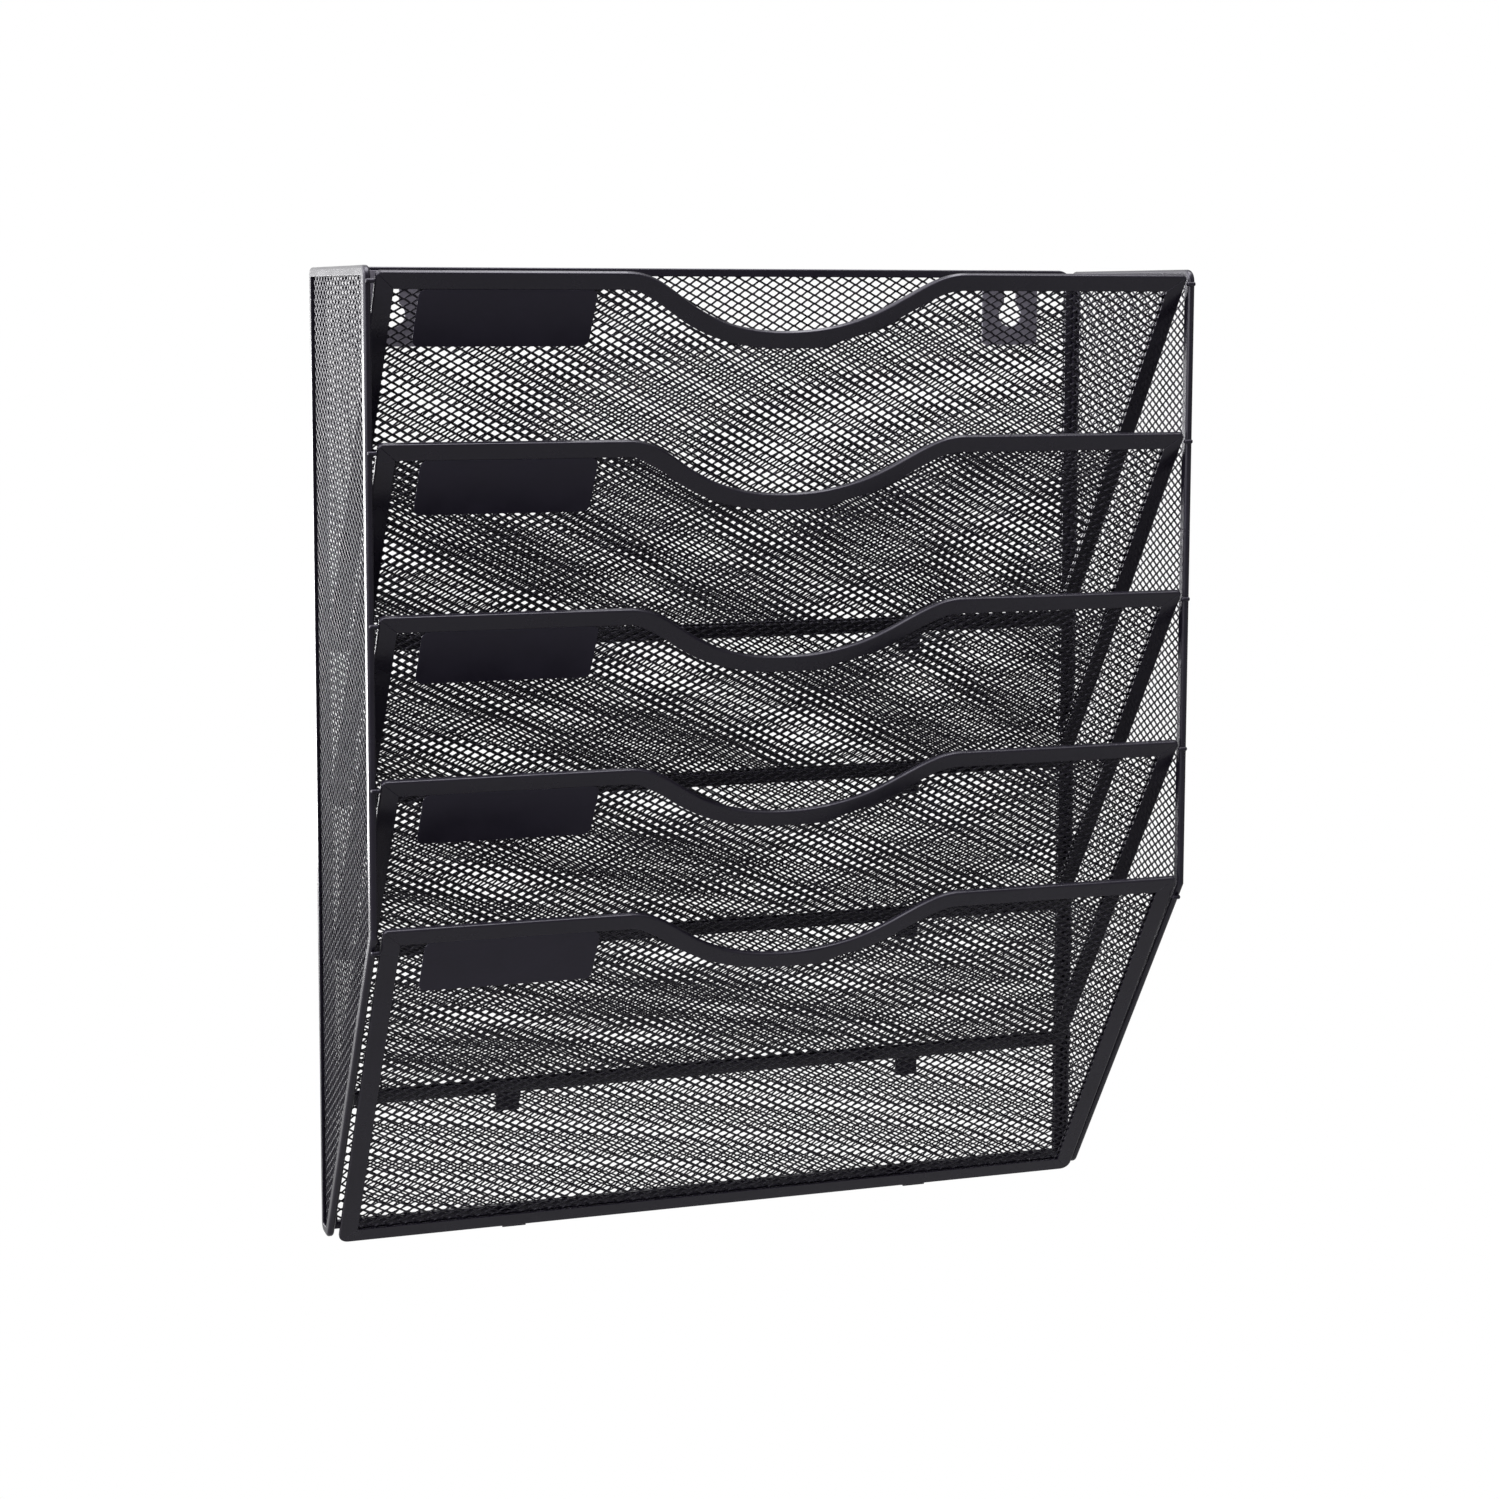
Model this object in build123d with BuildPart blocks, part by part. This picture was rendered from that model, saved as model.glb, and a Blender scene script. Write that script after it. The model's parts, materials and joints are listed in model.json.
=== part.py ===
from build123d import *
import os
from math import sin, cos, tan, radians, sqrt, asin, degrees

# Wall-hung file organiser with five sloped pockets.
# Frame: +X to the right seen from the front, +Y towards the wall, +Z up.
# Origin: on the wall plane, midway between the two hanging keyholes.

# ---------------------------------------------------------------- dimensions
WIDTH = 326.0            # outside width over the two side panels
DEPTH = 108.0            # wall plane to the front rims of the side panels
HEIGHT = 384.0           # overall height
HANG_HEIGHT = 366.0      # keyhole head centres above the bottom end
HANG_SPACING = 262.0     # between the two keyhole head centres
KNEE_HEIGHT = 142.0      # where the front rim turns back towards the wall
FOOT_DEPTH = 12.0        # depth of the side panels at the bottom end
SIDE_LOW = 1.4           # side panels' lower end above the bottom end

SHEET = 0.6              # expanded sheet thickness
RIM_T = 2.4              # back rim channel, across the sheet
SIDE_RIM_T = 2.8         # side rim channel, across the sheet
SIDE_RIM_W = 3.6         # side rim channel, in the plane of the sheet
BACK_RIM_W = 3.2         # back rim channel, in the plane of the sheet
SLOT = 0.8               # slot in every folded channel that takes the sheet
FOLD = 0.8               # metal left beyond the slot at the folded edge

PANEL_W = 317.5          # pocket front, overall width
PANEL_T = 2.2            # pocket front, thickness of the folded frame
PANEL_FRAME_W = 7.0      # width of the folded frame strip
PANEL_TOP_Y = -110.1     # outer face of every top rail at its upper edge
RAIL_HEIGHTS = (381.2, 320.3, 258.6, 199.3, 145.0)   # top rails above the bottom end
PANEL_LEN = 179.9        # pocket fronts 1 to 4, along the slope
PANEL_FOOT_Y = -6.5      # lower edge of pocket fronts 1 to 4, outer face
LAST_LEN = 174.9         # pocket front 5, along the slope
LAST_FOOT_Y = -13.5      # lower edge of pocket front 5, outer face
SCOOP_HW = 66.5          # finger scoop, half width along the top rail
SCOOP_DEPTH = 26.6       # finger scoop, depth along the slope
SCOOP_BELLY = 40.0       # curve handles of the scoop's low point and of its ends
SCOOP_SHOULDER = 46.0

LABEL_W = 66.0           # label plate
LABEL_L = 25.1
LABEL_T = 0.5
LABEL_LEFT = -142.4      # left end of each label plate
LABEL_TOP = 7.3          # below the upper edge of the top rail, along the slope

PLATE_W = 24.7           # hanger plate
PLATE_H = 29.6
PLATE_T = 0.9
PLATE_LOW = 12.6         # plate's lower edge below the keyhole head centre
KEY_R = 5.0              # keyhole head radius
KEY_SLOT = 5.4           # keyhole slot width
KEY_RISE = 10.5          # slot end centre above the head centre

TAB_W = 9.6              # tabs under the bottom rails
TAB_X = 87.0
NUB_R = 0.85             # weld nubs joining the top rails to the side rims
NUB_LEN = 3.6            # their length across the rim
NUB_DROP = 2.8           # their height below the rail's upper edge
NUB_DROP_LAST = 8.5
MITRE = 0.05             # half the hairline left in every mitred corner

ZB = -HANG_HEIGHT        # bottom end
os.makedirs("parts", exist_ok=True)


def finish(part, name):
    part.label = name
    export_step(part, "parts/" + name + ".step")


# ---------------------------------------------------------------- side panels
# outline of a side panel, drawn with sketch x = Y and sketch y = Z
with BuildSketch() as side_outline:
    with BuildLine():
        Polyline((0.0, ZB + SIDE_LOW), (0.0, ZB + HEIGHT), (-DEPTH, ZB + HEIGHT),
                 (-DEPTH, ZB + KNEE_HEIGHT), (-FOOT_DEPTH, ZB + SIDE_LOW), close=True)
    make_face()
    fillet(side_outline.vertices().group_by(Axis.Y)[-1].sort_by(Axis.X)[-1], 3.6)
    fillet(side_outline.vertices().group_by(Axis.Y)[-1].sort_by(Axis.X)[0], 4.6)
    fillet(side_outline.vertices().group_by(Axis.Y)[0].sort_by(Axis.X)[0], 5.0)
    fillet(side_outline.vertices().group_by(Axis.Y)[0].sort_by(Axis.X)[-1], 4.0)

with BuildSketch() as side_inner:
    add(side_outline.sketch)
    offset(amount=-SIDE_RIM_W, mode=Mode.REPLACE)

with BuildSketch() as side_slot:
    add(side_outline.sketch)
    offset(amount=-FOLD, mode=Mode.REPLACE)

with BuildSketch() as side_sheet:
    add(side_outline.sketch)
    offset(amount=-(FOLD + 0.1), mode=Mode.REPLACE)

for side, sx in (("left", -1), ("right", 1)):
    mid = sx * (WIDTH / 2 - SIDE_RIM_T / 2)
    # folded channel all round the panel edge
    with BuildPart() as side_rim:
        with BuildSketch(Plane.YZ.offset(mid - SIDE_RIM_T / 2)):
            add(side_outline.sketch)
        extrude(amount=SIDE_RIM_T)
        fillet(side_rim.faces().filter_by(Axis.X).edges(), 1.1)
        with BuildSketch(Plane.YZ.offset(mid - SIDE_RIM_T / 2)):
            add(side_inner.sketch)
        extrude(amount=SIDE_RIM_T, mode=Mode.SUBTRACT)
        with BuildSketch(Plane.YZ.offset(mid - SLOT / 2)):
            add(side_slot.sketch)
        extrude(amount=SLOT, mode=Mode.SUBTRACT)
    finish(side_rim.part, side + "_side_rim")
    # expanded sheet held in the channel
    with BuildPart() as side_mesh:
        with BuildSketch(Plane.YZ.offset(mid - SHEET / 2)):
            add(side_sheet.sketch)
        extrude(amount=SHEET)
    finish(side_mesh.part, side + "_side_mesh")

# ---------------------------------------------------------------- back panel
BACK_HW = WIDTH / 2 - SIDE_RIM_T - 0.05      # half width between the side panels
BACK_TOP = ZB + HEIGHT + 0.4
BACK_LOW = ZB + 1.4
BACK_R = 6.5

with BuildSketch() as back_outline:
    with Locations((0, (BACK_TOP + BACK_LOW) / 2)):
        Rectangle(2 * BACK_HW, BACK_TOP - BACK_LOW)
    fillet(back_outline.vertices().group_by(Axis.Y)[-1], BACK_R)

with BuildSketch() as back_inner:
    add(back_outline.sketch)
    offset(amount=-BACK_RIM_W, mode=Mode.REPLACE)

with BuildSketch() as back_slot:
    add(back_outline.sketch)
    offset(amount=-FOLD, mode=Mode.REPLACE)

with BuildSketch() as back_sheet:
    add(back_outline.sketch)
    offset(amount=-(FOLD + 0.1), mode=Mode.REPLACE)
    # clearance for the screw heads behind the hanger plates
    with Locations((-HANG_SPACING / 2, KEY_RISE / 2), (HANG_SPACING / 2, KEY_RISE / 2)):
        SlotCenterToCenter(KEY_RISE, 2 * KEY_R + 5.2, rotation=90, mode=Mode.SUBTRACT)

# on the wall plane, looking at the front
BACK_PLANE = Plane(origin=(0, 0, 0), x_dir=(1, 0, 0), z_dir=(0, -1, 0))
FAR = 120.0
BW, BT, BL = BACK_HW + 1, BACK_TOP + 1, BACK_LOW - 1
BACK_SECTORS = {
    "back_rim_top": [(-BW, BT), (BW, BT), (BW - FAR, BT - FAR), (-BW + FAR, BT - FAR)],
    "back_rim_bottom": [(-BW, BL), (BW, BL), (BW - FAR, BL + FAR), (-BW + FAR, BL + FAR)],
    "back_rim_left": [(-BW, BT), (-BW + FAR, BT - FAR), (-BW + FAR, BL + FAR), (-BW, BL)],
    "back_rim_right": [(BW, BT), (BW - FAR, BT - FAR), (BW - FAR, BL + FAR), (BW, BL)],
}

for name, sector in BACK_SECTORS.items():
    with BuildPart() as back_rim:
        with BuildSketch(BACK_PLANE):
            add(back_outline.sketch)
        extrude(amount=RIM_T)
        fillet(back_rim.faces().filter_by(Axis.Y).edges(), 0.6)
        with BuildSketch(BACK_PLANE):
            add(back_inner.sketch)
        extrude(amount=RIM_T, mode=Mode.SUBTRACT)
        with BuildSketch(BACK_PLANE.offset((RIM_T - SLOT) / 2)):
            add(back_slot.sketch)
        extrude(amount=SLOT, mode=Mode.SUBTRACT)
        with BuildSketch(BACK_PLANE):
            with BuildLine():
                Polyline(*sector, close=True)
            make_face()
            offset(amount=-MITRE, kind=Kind.INTERSECTION, mode=Mode.REPLACE)
        extrude(amount=RIM_T, mode=Mode.INTERSECT)
    finish(back_rim.part, name)

with BuildPart() as back_mesh:
    with BuildSketch(BACK_PLANE.offset((RIM_T - SHEET) / 2)):
        add(back_sheet.sketch)
    extrude(amount=SHEET)
finish(back_mesh.part, "back_mesh")

# ---------------------------------------------------------------- hanger plates
for side, sx in (("left", -1), ("right", 1)):
    with BuildPart() as hanger_plate:
        with BuildSketch(BACK_PLANE.offset(RIM_T + 0.05)):
            with Locations((sx * HANG_SPACING / 2, PLATE_H / 2 - PLATE_LOW)):
                RectangleRounded(PLATE_W, PLATE_H, 2.0)
        extrude(amount=PLATE_T)
        with BuildSketch(BACK_PLANE.offset(RIM_T + 0.05)):
            with Locations((sx * HANG_SPACING / 2, 0)):
                Circle(KEY_R)
            with Locations((sx * HANG_SPACING / 2, KEY_RISE / 2)):
                SlotCenterToCenter(KEY_RISE, KEY_SLOT, rotation=90)
        extrude(amount=PLATE_T, mode=Mode.SUBTRACT)
    finish(hanger_plate.part, "hanger_plate_" + side)

# ---------------------------------------------------------------- pocket fronts
PANEL_HW = PANEL_W / 2


def scoop_points(d):
    # half of the scoop curve from its low point outwards, moved inwards by d
    pts = []
    for t in (0.0, 0.17, 0.34, 0.5, 0.66, 0.83, 1.0):
        u = 1 - t
        x = 3 * u * u * t * SCOOP_BELLY + 3 * u * t * t * SCOOP_SHOULDER + t ** 3 * SCOOP_HW
        y = -SCOOP_DEPTH * (u ** 3 + 3 * u * u * t)
        dx = 3 * u * u * SCOOP_BELLY + 6 * u * t * (SCOOP_SHOULDER - SCOOP_BELLY) + 3 * t * t * (SCOOP_HW - SCOOP_SHOULDER)
        dy = 6 * u * t * SCOOP_DEPTH
        r = sqrt(dx * dx + dy * dy)
        pts.append((x + d * dy / r, y - d * dx / r))
    return pts


def panel_sketch(length, d, foot_r, top_r):
    # pocket front outline with the finger scoop in its upper edge, moved inwards by d
    hw, foot = PANEL_HW - d, -length + d
    with BuildSketch() as outline:
        with BuildLine():
            Polyline((-SCOOP_HW, -d), (-hw, -d), (-hw, foot), (hw, foot), (hw, -d), (SCOOP_HW, -d))
            if d == 0:
                Bezier((SCOOP_HW, 0), (SCOOP_SHOULDER, 0), (SCOOP_BELLY, -SCOOP_DEPTH), (0, -SCOOP_DEPTH))
                Bezier((0, -SCOOP_DEPTH), (-SCOOP_BELLY, -SCOOP_DEPTH), (-SCOOP_SHOULDER, 0), (-SCOOP_HW, 0))
            else:
                half = scoop_points(d)
                Spline(*reversed(half), tangents=((-1, 0), (-1, 0)))
                Spline(*[(-x, y) for x, y in half], tangents=((-1, 0), (-1, 0)))
        make_face()
        if foot_r > 0:
            fillet(outline.vertices().group_by(Axis.Y)[0], foot_r)
        if top_r > 0:
            tops = outline.vertices().group_by(Axis.Y)[-1].sort_by(Axis.X)
            fillet([tops[0], tops[-1]], top_r)
    return outline.sketch


for n, rail_h in enumerate(RAIL_HEIGHTS, start=1):
    length = LAST_LEN if n == 5 else PANEL_LEN
    foot_y = LAST_FOOT_Y if n == 5 else PANEL_FOOT_Y
    slope = asin((foot_y - PANEL_TOP_Y) / length)      # lean away from the vertical
    top_z = ZB + rail_h
    foot_z = top_z - length * cos(slope)
    outward = (0, -cos(slope), -sin(slope))
    face = Plane(origin=(0, PANEL_TOP_Y, top_z), x_dir=(1, 0, 0), z_dir=outward)

    panel_outline = panel_sketch(length, 0, 4.0, 2.0)
    panel_inner = panel_sketch(length, PANEL_FRAME_W, 0, 0)
    panel_slot = panel_sketch(length, FOLD, 3.2, 1.2)
    panel_sheet = panel_sketch(length, FOLD + 0.1, 3.1, 1.1)

    m = PANEL_HW + 1
    far = 50.0
    foot = -length - 1
    sectors = {
        "top_rail": [(-m, 1), (m, 1), (m - far, 1 - far), (-m + far, 1 - far)],
        "left_stile": [(-m, 1), (-m + far, 1 - far), (-m + far, foot + far), (-m, foot)],
        "right_stile": [(m, 1), (m - far, 1 - far), (m - far, foot + far), (m, foot)],
        "bottom_rail": [(-m, foot), (m, foot), (m - far, foot + far), (-m + far, foot + far)],
    }
    for piece, sector in sectors.items():
        with BuildPart() as strip:
            with BuildSketch(face):
                add(panel_outline)
            extrude(amount=-PANEL_T)
            fillet(strip.faces().filter_by(Axis((0, 0, 0), outward)).edges(), 0.7)
            with BuildSketch(face):
                add(panel_inner)
            extrude(amount=-PANEL_T, mode=Mode.SUBTRACT)
            with BuildSketch(face.offset(-(PANEL_T - SLOT) / 2)):
                add(panel_slot)
            extrude(amount=-SLOT, mode=Mode.SUBTRACT)
            with BuildSketch(face):
                with BuildLine():
                    Polyline(*sector, close=True)
                make_face()
                offset(amount=-MITRE, kind=Kind.INTERSECTION, mode=Mode.REPLACE)
            extrude(amount=-PANEL_T, mode=Mode.INTERSECT)
        finish(strip.part, "pocket_%d_%s" % (n, piece))

    with BuildPart() as front_mesh:
        with BuildSketch(face.offset(-(PANEL_T - SHEET) / 2)):
            add(panel_sheet)
        extrude(amount=-SHEET)
    finish(front_mesh.part, "pocket_%d_mesh" % n)

    # blank label plate lying on the mesh just under the top rail
    with BuildPart() as label_plate:
        with BuildSketch(face.offset(-(PANEL_T - SHEET) / 2 + 0.05)):
            with Locations((LABEL_LEFT + LABEL_W / 2, -LABEL_TOP - LABEL_L / 2)):
                RectangleRounded(LABEL_W, LABEL_L, 3.0)
        extrude(amount=LABEL_T)
    finish(label_plate.part, "pocket_%d_label_plate" % n)

    # rounded weld nubs, each lying beside the stile and across the side rim's front edge
    nub_h = rail_h - (NUB_DROP_LAST if n == 5 else NUB_DROP)
    rim_y = -DEPTH
    if nub_h < KNEE_HEIGHT:
        rim_y += (KNEE_HEIGHT - nub_h) * (DEPTH - FOOT_DEPTH) / (KNEE_HEIGHT - SIDE_LOW)
    nub_y = rim_y - (NUB_R + 0.4 if n == 5 else NUB_R + 0.1)
    with BuildPart() as corner_lugs:
        for sx in (-1, 1):
            with BuildSketch(Plane(origin=(sx * (PANEL_HW + 0.08), nub_y, ZB + nub_h), z_dir=(sx, 0, 0))):
                Circle(NUB_R)
            extrude(amount=NUB_LEN)
        fillet(corner_lugs.faces().filter_by(Axis.X).edges(), 0.6)
    finish(corner_lugs.part, "pocket_%d_corner_lugs" % n)

    # tabs bent down from the bottom rail on to the back panel
    if n == 5:
        tab = [(foot_y + 0.35, foot_z - 0.02), (foot_y + 1.9, foot_z + 1.08), (-3.35, foot_z + 1.08),
               (-3.35, foot_z + 5.4), (-2.45, foot_z + 5.4), (-2.45, foot_z + 0.2),
               (foot_y + 2.2, foot_z + 0.2), (foot_y + 0.8, foot_z - 0.5)]
    else:
        tab = [(-2.5, foot_z + 1.15), (foot_y + 1.9, foot_z + 1.05), (foot_y + 0.1, foot_z - 0.15),
               (foot_y + 0.7, foot_z - 0.95), (-3.4, foot_z + 0.1), (-3.4, foot_z - 8.0), (-2.5, foot_z - 8.0)]
    with BuildPart() as bottom_tabs:
        for cx in (-TAB_X, TAB_X):
            with BuildSketch(Plane.YZ.offset(cx - TAB_W / 2)) as sk:
                with BuildLine():
                    Polyline(*tab, close=True)
                make_face()
            extrude(amount=TAB_W)
    finish(bottom_tabs.part, "pocket_%d_bottom_tabs" % n)
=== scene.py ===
import bpy, json, math
import numpy as np
from mathutils import Matrix, Vector


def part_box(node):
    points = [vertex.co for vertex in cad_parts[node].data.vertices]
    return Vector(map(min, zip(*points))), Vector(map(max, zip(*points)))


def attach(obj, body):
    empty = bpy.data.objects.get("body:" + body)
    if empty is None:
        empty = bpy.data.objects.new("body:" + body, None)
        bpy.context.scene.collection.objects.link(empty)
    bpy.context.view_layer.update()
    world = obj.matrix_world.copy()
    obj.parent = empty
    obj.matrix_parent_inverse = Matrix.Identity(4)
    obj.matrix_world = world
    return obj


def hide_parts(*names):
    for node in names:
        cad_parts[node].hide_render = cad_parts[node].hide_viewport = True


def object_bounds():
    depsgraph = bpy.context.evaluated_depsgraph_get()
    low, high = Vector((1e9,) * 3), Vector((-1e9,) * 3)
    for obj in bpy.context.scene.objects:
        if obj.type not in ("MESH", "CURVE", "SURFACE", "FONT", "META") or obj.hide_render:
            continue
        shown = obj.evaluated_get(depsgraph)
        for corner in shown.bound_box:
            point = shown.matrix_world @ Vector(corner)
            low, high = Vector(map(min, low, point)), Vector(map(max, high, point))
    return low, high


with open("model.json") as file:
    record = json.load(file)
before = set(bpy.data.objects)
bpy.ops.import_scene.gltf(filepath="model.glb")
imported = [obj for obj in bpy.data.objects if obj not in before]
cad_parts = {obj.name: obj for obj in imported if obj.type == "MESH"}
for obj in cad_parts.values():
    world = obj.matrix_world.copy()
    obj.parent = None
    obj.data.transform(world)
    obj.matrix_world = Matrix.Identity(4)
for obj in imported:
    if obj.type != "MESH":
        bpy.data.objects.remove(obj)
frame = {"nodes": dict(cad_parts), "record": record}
cad_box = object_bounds()
nodes = frame["nodes"]
MM = 0.001
BACK_LIGHT, LEFT_LIGHT, TOP_LIGHT, FRONT_LIGHT = 0.8, 3.0, 1.0, 0.13   # studio around the object


# ------------------------------------------------------------------ materials
def new_material(name):
    m = bpy.data.materials.new(name)
    m.use_nodes = True
    nt = m.node_tree
    nt.nodes.clear()
    out = nt.nodes.new("ShaderNodeOutputMaterial")
    p = nt.nodes.new("ShaderNodeBsdfPrincipled")
    nt.links.new(p.outputs[0], out.inputs["Surface"])
    return m, nt, p


def noise(nt, coord, scale, detail=2.0, rough=0.5):
    n = nt.nodes.new("ShaderNodeTexNoise")
    n.inputs["Scale"].default_value = scale
    n.inputs["Detail"].default_value = detail
    n.inputs["Roughness"].default_value = rough
    nt.links.new(coord, n.inputs["Vector"])
    return n.outputs["Fac"]


def ramp(nt, fac, stops):
    r = nt.nodes.new("ShaderNodeValToRGB")
    els = r.color_ramp.elements
    while len(els) < len(stops):
        els.new(0.5)
    for e, (pos, col) in zip(els, stops):
        e.position = pos
        e.color = (*col, 1.0) if len(col) == 3 else col
    nt.links.new(fac, r.inputs["Fac"])
    return r.outputs["Color"]


def map_range(nt, fac, lo, hi, a=0.0, b=1.0):
    n = nt.nodes.new("ShaderNodeMapRange")
    n.inputs["From Min"].default_value = a
    n.inputs["From Max"].default_value = b
    n.inputs["To Min"].default_value = lo
    n.inputs["To Max"].default_value = hi
    nt.links.new(fac, n.inputs["Value"])
    return n.outputs["Result"]


def powder_coat(name, dark, light, rough, peel=0.00006, grain=0.000012, spec=0.5, edge=True, gloss=0.0):
    """Baked black powder coat: orange peel, fine grain, patchy sheen, and edges painted paler as a painted highlight.
    """
    m, nt, p = new_material(name)
    tc = nt.nodes.new("ShaderNodeTexCoord").outputs["Object"]
    patch = noise(nt, tc, 55.0, 3.0, 0.6)
    fine = noise(nt, tc, 1500.0, 2.0, 0.6)
    mix = nt.nodes.new("ShaderNodeMath")
    mix.operation = "MULTIPLY_ADD"
    nt.links.new(fine, mix.inputs[0])
    mix.inputs[1].default_value = 0.35
    nt.links.new(patch, mix.inputs[2])
    col = ramp(nt, mix.outputs[0], [(0.35, dark), (1.0, light)])
    if edge:
        bev = nt.nodes.new("ShaderNodeBevel")
        bev.samples = 4
        bev.inputs["Radius"].default_value = 0.00045
        geo = nt.nodes.new("ShaderNodeNewGeometry")
        dot = nt.nodes.new("ShaderNodeVectorMath")
        dot.operation = "DOT_PRODUCT"
        nt.links.new(bev.outputs[0], dot.inputs[0])
        nt.links.new(geo.outputs["Normal"], dot.inputs[1])
        # painted highlight: where the bevel normal turns away from the surface normal, the colour is mixed toward a
        # much paler tone
        painted_edge_highlight = map_range(nt, dot.outputs["Value"], 1.0, 0.0, 0.80, 0.995)
        mixc = nt.nodes.new("ShaderNodeMix")
        mixc.data_type = "RGBA"
        nt.links.new(painted_edge_highlight, mixc.inputs["Factor"])
        nt.links.new(col, mixc.inputs["A"])
        mixc.inputs["B"].default_value = (light[0] * 2.4, light[1] * 2.4, light[2] * 2.4, 1)
        col = mixc.outputs["Result"]
    nt.links.new(col, p.inputs["Base Color"])
    nt.links.new(map_range(nt, patch, rough - 0.05, rough + 0.07, 0.3, 0.7), p.inputs["Roughness"])
    p.inputs["Specular IOR Level"].default_value = spec
    p.inputs["Coat Weight"].default_value = gloss
    p.inputs["Coat Roughness"].default_value = 0.12
    p.inputs["Specular Tint"].default_value = (0.88, 0.85, 1.0, 1.0)
    h1 = noise(nt, tc, 620.0, 2.0, 0.5)
    b1 = nt.nodes.new("ShaderNodeBump")
    b1.inputs["Distance"].default_value = peel
    b1.inputs["Strength"].default_value = 0.55
    nt.links.new(h1, b1.inputs["Height"])
    b2 = nt.nodes.new("ShaderNodeBump")
    b2.inputs["Distance"].default_value = grain
    b2.inputs["Strength"].default_value = 0.6
    nt.links.new(fine, b2.inputs["Height"])
    nt.links.new(b1.outputs[0], b2.inputs["Normal"])
    if edge:
        nt.links.new(bev.outputs[0], b1.inputs["Normal"])
    nt.links.new(b2.outputs[0], p.inputs["Normal"])
    return m


MAT = {
    "coated_rim": powder_coat("rim_powder_coat", (0.0048, 0.0036, 0.0078), (0.0096, 0.0077, 0.0146), 0.24, gloss=0.25),
    "coated_plate": powder_coat("plate_powder_coat", (0.0088, 0.0070, 0.0142), (0.0160, 0.0132, 0.0250), 0.38, spec=0.5),
    "coated_fitting": powder_coat("fitting_powder_coat", (0.0056, 0.0043, 0.0086), (0.0110, 0.0090, 0.0160), 0.24),
    "expanded_mesh": powder_coat("mesh_powder_coat", (0.0036, 0.0028, 0.0056), (0.0076, 0.0061, 0.0112), 0.28, edge=False),
}

slots = {s["node"]: s["material_slot"] for s in frame["record"]["subparts"]}
# hanger plates are coloured mid-grey, far paler than the near-black coat on the other parts
hanger_coat = powder_coat("hanger_grey_coat", (0.085, 0.079, 0.098), (0.160, 0.150, 0.182), 0.34)
for n, o in nodes.items():
    o.data.materials.clear()
    o.data.materials.append(hanger_coat if n.startswith("hanger_plate") else MAT[slots[n]])

# ------------------------------------------------------------------ expanded metal
FRONT_LWD, FRONT_SWD = 5.9 * MM, 3.7 * MM      # long and short way of the diamond, pocket fronts
SIDE_LWD, SIDE_SWD = 5.84 * MM, 3.47 * MM      # side panels
BACK_SWD = 3.43 * MM                           # back panel
BACK_SLANT = 0.049                             # the back sheet's rows rise this much to the right
BOND_X, BOND_FLAT, BOND_Y = 0.94 * MM, 0.26 * MM, 0.50 * MM
HALF_T = 0.27 * MM                             # half thickness on the bond's centre
TILT = 0.15 * MM                               # upper edge of every bond stands forward
FRONT_TILT = -0.08 * MM                        # on the pocket fronts the lower edge does
SIDE_HALF_T = 0.33 * MM                        # half thickness of the side sheets


def plate_frame(ob, normal_hint):
    """Normal, in-plane axes, mid plane and the front triangles of a thin CAD plate."""
    me = ob.data
    me.calc_loop_triangles()
    co = np.array([v.co for v in me.vertices], float)
    tri = np.array([t.vertices for t in me.loop_triangles], int)
    a, b, c = co[tri[:, 0]], co[tri[:, 1]], co[tri[:, 2]]
    nn = np.cross(b - a, c - a)
    area = np.linalg.norm(nn, axis=1)
    nn = nn / np.maximum(area, 1e-18)[:, None]
    big = nn[np.argmax(area * (np.abs(nn @ np.array(normal_hint)) > 0.6))]
    n = big * np.sign(big @ np.array(normal_hint))
    u = np.array([1.0, 0, 0])
    if abs(n[0]) > 0.9:
        u = np.array([0, np.sign(n[0]), 0.0])
    v = np.cross(n, u)
    mid = float(((co @ n).max() + (co @ n).min()) / 2)
    front = (nn @ n) > 0.99
    t2 = np.stack([np.stack([x[front] @ u, x[front] @ v], 1) for x in (a, b, c)], 1)
    return n, u, v, mid, t2


def inside(pts, t2):
    out = np.zeros(len(pts), bool)
    for a, b, c in t2:
        d1 = (pts[:, 0] - b[0]) * (a[1] - b[1]) - (a[0] - b[0]) * (pts[:, 1] - b[1])
        d2 = (pts[:, 0] - c[0]) * (b[1] - c[1]) - (b[0] - c[0]) * (pts[:, 1] - c[1])
        d3 = (pts[:, 0] - a[0]) * (c[1] - a[1]) - (c[0] - a[0]) * (pts[:, 1] - a[1])
        e = 1e-12
        neg = (d1 < -e) | (d2 < -e) | (d3 < -e)
        pos = (d1 > e) | (d2 > e) | (d3 > e)
        out |= ~(neg & pos)
    return out


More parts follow.
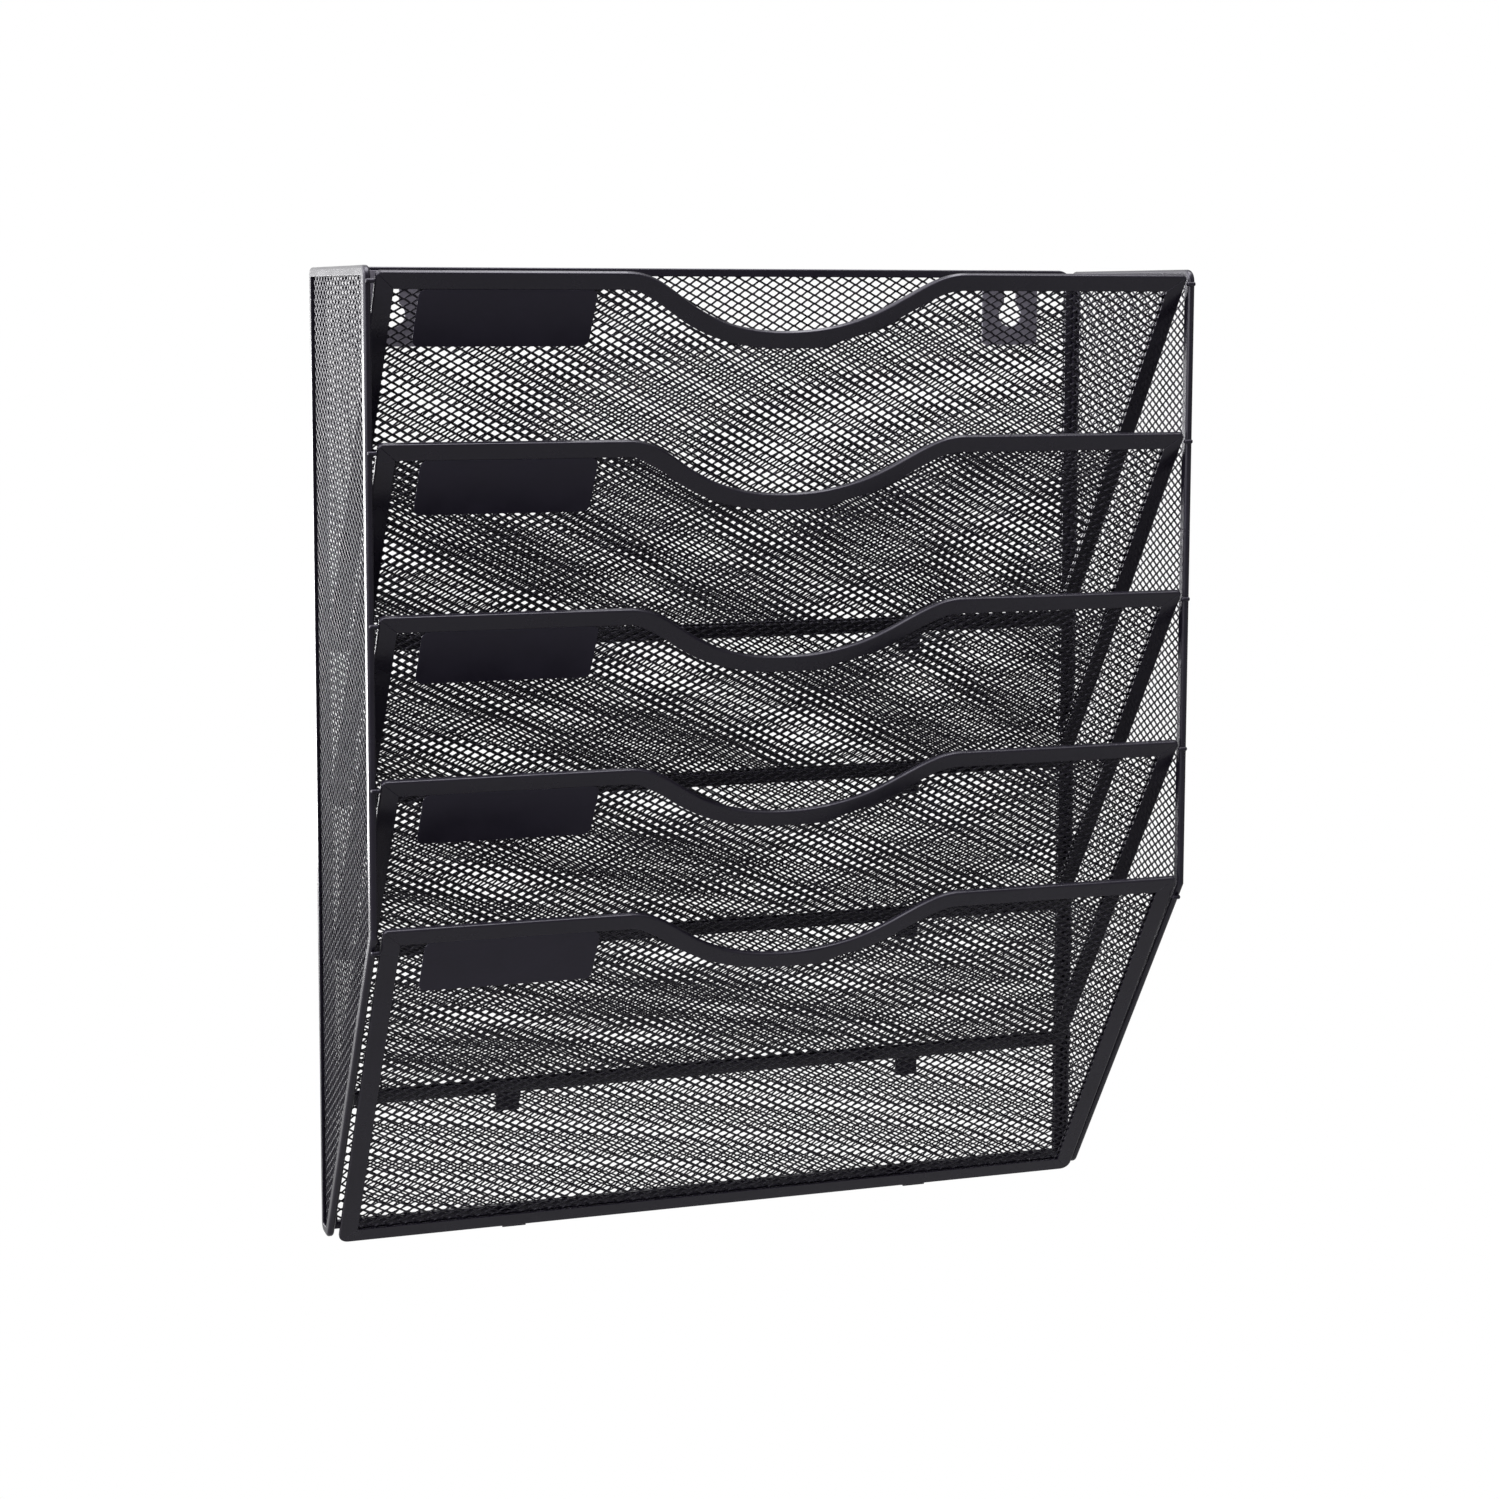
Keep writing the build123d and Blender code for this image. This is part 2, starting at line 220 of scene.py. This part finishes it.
def expanded_sheet(name, ob, hint, hu=FRONT_LWD / 2, hv=FRONT_SWD / 2, u0=0.0, v0=None, rows=None, slant=0.0, half_t=HALF_T, tilt=TILT, wide=1.0):
    """Closed mesh of an expanded-metal sheet filling a thin CAD plate. rows: share of the height (low, high)."""
    bx, bf, by = BOND_X * wide, BOND_FLAT * wide, BOND_Y * wide
    n, u, v, mid, t2 = plate_frame(ob, hint)
    lo, hi = t2.reshape(-1, 2).min(0), t2.reshape(-1, 2).max(0)
    if v0 is None:
        v0 = lo[1] + by + 0.0001
    i0, i1 = int(math.floor((lo[0] - u0) / hu)) - 1, int(math.ceil((hi[0] - u0) / hu)) + 1
    spare = int(math.ceil(abs(slant) * max(abs(lo[0]), abs(hi[0])) / hv)) + 1
    j0, j1 = int(math.floor((lo[1] - v0) / hv)) - spare, int(math.ceil((hi[1] - v0) / hv)) + spare
    I, J = np.meshgrid(np.arange(i0, i1 + 1), np.arange(j0, j1 + 1))
    even = ((I + J) % 2) == 0
    P = np.stack([u0 + I * hu, v0 + J * hv + slant * (u0 + I * hu)], -1)
    ok = even.copy()
    flat = P.reshape(-1, 2)
    for dx, dy in ((bx, 0), (-bx, 0), (bf, by), (-bf, by), (bf, -by), (-bf, -by)):
        ok &= inside(flat + np.array([dx, dy]), t2).reshape(ok.shape)
    jlo, jhi = j0, j1
    if rows:
        jlo = j0 + int(round((j1 - j0) * rows[0])) if rows[0] > 0 else j0
        jhi = j0 + int(round((j1 - j0) * rows[1])) if rows[1] < 1 else j1
        keep = (J >= jlo) & (J <= jhi)
        ok &= keep
    cut_low = (J == jlo) & bool(rows and rows[0] > 0)
    cut_high = (J == jhi) & bool(rows and rows[1] < 1)

    def shifted(arr, di, dj, fill):
        out = np.full_like(arr, fill)
        h, w = arr.shape
        ys, yd = slice(max(0, dj), h + min(0, dj)), slice(max(0, -dj), h + min(0, -dj))
        xs, xd = slice(max(0, di), w + min(0, di)), slice(max(0, -di), w + min(0, -di))
        out[yd, xd] = arr[ys, xs]
        return out

    # drop bonds with no neighbour left
    for _ in range(2):
        near = sum(shifted(ok, di, dj, False).astype(int) for di in (-1, 1) for dj in (-1, 1))
        ok &= near >= 2
    ids = np.full(ok.shape, -1, int)
    ids[ok] = np.arange(ok.sum())
    c2 = P[ok]
    k = len(c2)
    # per bond: Cf Cb R L UR UL DR DL
    off = np.array([
        (0, 0, half_t), (0, 0, -half_t), (bx, 0, 0), (-bx, 0, 0),
        (bf, by, tilt), (-bf, by, tilt),
        (bf, -by, -tilt), (-bf, -by, -tilt)])
    loc = np.concatenate([c2, np.zeros((k, 1))], 1)[:, None, :] + off[None]
    loc = loc.reshape(-1, 3)
    co = loc[:, :1] * u + loc[:, 1:2] * v + (loc[:, 2:] + mid) * n
    CF, CB, R, L, UR, UL, DR, DL = range(8)
    quads, tris = [], []
    link = {}
    for key, di in (("NE", 1), ("NW", -1)):
        other = shifted(ids, di, 1, -1)
        has = ok & (other >= 0) & ~cut_high
        link[key] = has
        A, B = ids[has] * 8, other[has] * 8
        if key == "NE":
            q = [(A + CF, A + R, B + DL, B + CF), (A + CF, B + CF, B + L, A + UR),
                 (A + CB, B + CB, B + DL, A + R), (A + CB, A + UR, B + L, B + CB)]
        else:
            q = [(A + CF, A + UL, B + R, B + CF), (A + CF, B + CF, B + DR, A + L),
                 (A + CB, B + CB, B + R, A + UL), (A + CB, A + L, B + DR, B + CB)]
        quads += [np.stack(x, 1) for x in q]
    has_sw = shifted(link["NE"], -1, -1, False)
    has_se = shifted(link["NW"], 1, -1, False)
    up, down = ok & ~cut_high, ok & ~cut_low
    for where, f, bk in (
        (up, (CF, UR, UL), (CB, UL, UR)),
        (down, (CF, DL, DR), (CB, DR, DL)),
        (up & ~link["NE"], (CF, R, UR), (CB, UR, R)),
        (up & ~link["NW"], (CF, UL, L), (CB, L, UL)),
        (down & ~has_sw, (CF, L, DL), (CB, DL, L)),
        (down & ~has_se, (CF, DR, R), (CB, R, DR)),
    ):
        A = ids[where] * 8
        tris += [np.stack([A + x for x in f], 1), np.stack([A + x for x in bk], 1)]
    A = ids[ok & cut_low] * 8
    quads.append(np.stack([A + CF, A + L, A + CB, A + R], 1))
    A = ids[ok & cut_high] * 8
    quads.append(np.stack([A + CF, A + R, A + CB, A + L], 1))
    quads, tris = np.concatenate(quads), np.concatenate(tris)
    used = np.zeros(len(co), bool)
    used[quads.ravel()] = True
    used[tris.ravel()] = True
    remap = np.cumsum(used) - 1
    co, quads, tris = co[used], remap[quads], remap[tris]
    me = bpy.data.meshes.new(name)
    me.vertices.add(len(co))
    me.vertices.foreach_set("co", co.astype(np.float32).ravel())
    loops = np.concatenate([quads.ravel(), tris.ravel()]).astype(np.int32)
    me.loops.add(len(loops))
    me.loops.foreach_set("vertex_index", loops)
    nq, ntri = len(quads), len(tris)
    starts = np.concatenate([np.arange(nq) * 4, nq * 4 + np.arange(ntri) * 3]).astype(np.int32)
    me.polygons.add(nq + ntri)
    me.polygons.foreach_set("loop_start", starts)
    me.polygons.foreach_set("use_smooth", np.ones(nq + ntri, bool))
    me.update(calc_edges=True)
    me.validate()
    obj = bpy.data.objects.new(name, me)
    bpy.context.scene.collection.objects.link(obj)
    me.materials.append(MAT["expanded_mesh"])
    return obj


def settle(obj, slot, *stands_for):
    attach(obj, "root")
    if stands_for:
        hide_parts(*stands_for)
    return obj


FRONT, BACKWARD = (0, -1, 0), (0, 1, 0)
lo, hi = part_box("back_mesh")
half_cols = 53
hu_back = ((hi.x - lo.x) / 2 - BOND_X - 0.0001) / half_cols
for label, rows in (("lower", (0, 0.5)), ("upper", (0.5, 1))):
    settle(expanded_sheet("back_expanded_mesh_" + label, nodes["back_mesh"], FRONT, hu=hu_back, hv=BACK_SWD / 2, rows=rows, slant=BACK_SLANT), "expanded_mesh", "back_mesh")
settle(expanded_sheet("left_side_expanded_mesh", nodes["left_side_mesh"], (-1, 0, 0), hu=SIDE_LWD / 2, hv=SIDE_SWD / 2, half_t=SIDE_HALF_T, wide=1.18), "expanded_mesh", "left_side_mesh")
settle(expanded_sheet("right_side_expanded_mesh", nodes["right_side_mesh"], (1, 0, 0), hu=SIDE_LWD / 2, hv=SIDE_SWD / 2, half_t=SIDE_HALF_T, wide=1.18), "expanded_mesh", "right_side_mesh")
for n in range(1, 6):
    settle(expanded_sheet("pocket_%d_expanded_mesh" % n, nodes["pocket_%d_mesh" % n], (0, -0.8, -0.6), tilt=FRONT_TILT), "expanded_mesh", "pocket_%d_mesh" % n)

# ------------------------------------------------------------------ stage, light, camera
bottom = cad_box[0][2] if hasattr(cad_box[0], "__len__") else -0.366
fm = bpy.data.meshes.new("floor")
S = 14.0
fz = bottom - 0.30
fm.from_pydata([(-S, -S, fz), (S, -S, fz), (S, S, fz), (-S, S, fz)], [], [(0, 1, 2, 3)])
floor = bpy.data.objects.new("floor", fm)
bpy.context.scene.collection.objects.link(floor)
mf, nt, p = new_material("pale_floor")
tc = nt.nodes.new("ShaderNodeTexCoord").outputs["Object"]
nt.links.new(ramp(nt, noise(nt, tc, 1.4, 2.0), [(0.3, (0.17, 0.17, 0.17)), (0.7, (0.19, 0.19, 0.19))]), p.inputs["Base Color"])
p.inputs["Roughness"].default_value = 0.9
p.inputs["Specular IOR Level"].default_value = 0.1
seen = nt.nodes.new("ShaderNodeLightPath").outputs["Is Camera Ray"]
glow = nt.nodes.new("ShaderNodeEmission")
glow.inputs["Strength"].default_value = 1.0
both = nt.nodes.new("ShaderNodeMixShader")
nt.links.new(seen, both.inputs[0])
nt.links.new(p.outputs[0], both.inputs[1])
nt.links.new(glow.outputs[0], both.inputs[2])
for old in [x for x in nt.nodes if x.type == "OUTPUT_MATERIAL"]:
    nt.links.new(both.outputs[0], old.inputs["Surface"])
fm.materials.append(mf)

world = bpy.data.worlds.new("studio")
bpy.context.scene.world = world
world.use_nodes = True
wn = world.node_tree
# white behind the object; for everything else a studio with bright back, left and top and a dim front
way = wn.nodes.new("ShaderNodeSeparateXYZ")
wn.links.new(wn.nodes.new("ShaderNodeTexCoord").outputs["Generated"], way.inputs[0])


def world_math(op, x, y):
    n = wn.nodes.new("ShaderNodeMath")
    n.operation = op
    for i, val in enumerate((x, y)):
        if isinstance(val, (int, float)):
            n.inputs[i].default_value = val
        else:
            wn.links.new(val, n.inputs[i])
    return n.outputs[0]


rear = world_math("MULTIPLY", map_range(wn, way.outputs["Y"], 0.0, BACK_LIGHT, 0.15, 0.75), map_range(wn, way.outputs["X"], 1.0, 0.10, 0.18, 0.42))
studio = world_math("ADD", rear, FRONT_LIGHT)
studio = world_math("ADD", studio, map_range(wn, way.outputs["X"], LEFT_LIGHT, 0.0, -0.75, -0.15))
studio = world_math("ADD", studio, map_range(wn, way.outputs["Z"], 0.0, TOP_LIGHT, 0.5, 0.9))
seen = wn.nodes.new("ShaderNodeLightPath").outputs["Is Camera Ray"]
studio = world_math("MULTIPLY", studio, world_math("SUBTRACT", 1.0, seen))
wn.links.new(world_math("ADD", studio, seen), wn.nodes["Background"].inputs["Strength"])
wn.nodes["Background"].inputs["Color"].default_value = (1, 1, 1, 1)


def area(name, loc, target, size, power, size_y=None):
    d = bpy.data.lights.new(name, "AREA")
    d.energy = power
    d.size = size
    if size_y:
        d.shape = "RECTANGLE"
        d.size_y = size_y
    o = bpy.data.objects.new(name, d)
    bpy.context.scene.collection.objects.link(o)
    o.location = loc
    o.visible_camera = False
    o.rotation_euler = (Vector(target) - Vector(loc)).to_track_quat("-Z", "Y").to_euler()
    return o


area("key", (-1.6, -0.2, 1.2), (0, 0, -0.15), 0.9, 13)
area("overhead", (0.2, -0.25, 1.6), (0, -0.05, -0.1), 1.5, 26, 1.0)
area("rear_left", (-1.2, 2.0, -0.7), (-0.16, -0.05, -0.2), 1.4, 55, 1.3)
area("fill", (1.3, -1.5, 0.6), (0, 0, -0.2), 1.4, 1.5)

cam_d = bpy.data.cameras.new("camera")
cam = bpy.data.objects.new("camera", cam_d)
bpy.context.scene.collection.objects.link(cam)
PX = 1499.0
F_PX, CY = 2891.5692, -146.255126
yaw, pitch, roll = 0.32631, 0.105086, 0.002433
cam_d.sensor_width = 36.0
cam_d.sensor_fit = "HORIZONTAL"
cam_d.lens = 36.0 * F_PX / PX
cam_d.shift_y = CY / PX
cam_d.clip_start, cam_d.clip_end = 0.01, 60.0
fwd = Vector((math.sin(yaw) * math.cos(pitch), math.cos(yaw) * math.cos(pitch), -math.sin(pitch)))
right = Vector((math.cos(yaw), -math.sin(yaw), 0))
up = right.cross(fwd)
r2 = right * math.cos(roll) + up * math.sin(roll)
u2 = up * math.cos(roll) - right * math.sin(roll)
m = Matrix((r2, u2, -fwd)).transposed().to_4x4()
m.translation = Vector((-0.362033, -1.121089, 0.006548))
cam.matrix_world = m
bpy.context.scene.camera = cam
bpy.context.scene.view_settings.view_transform = "Standard"
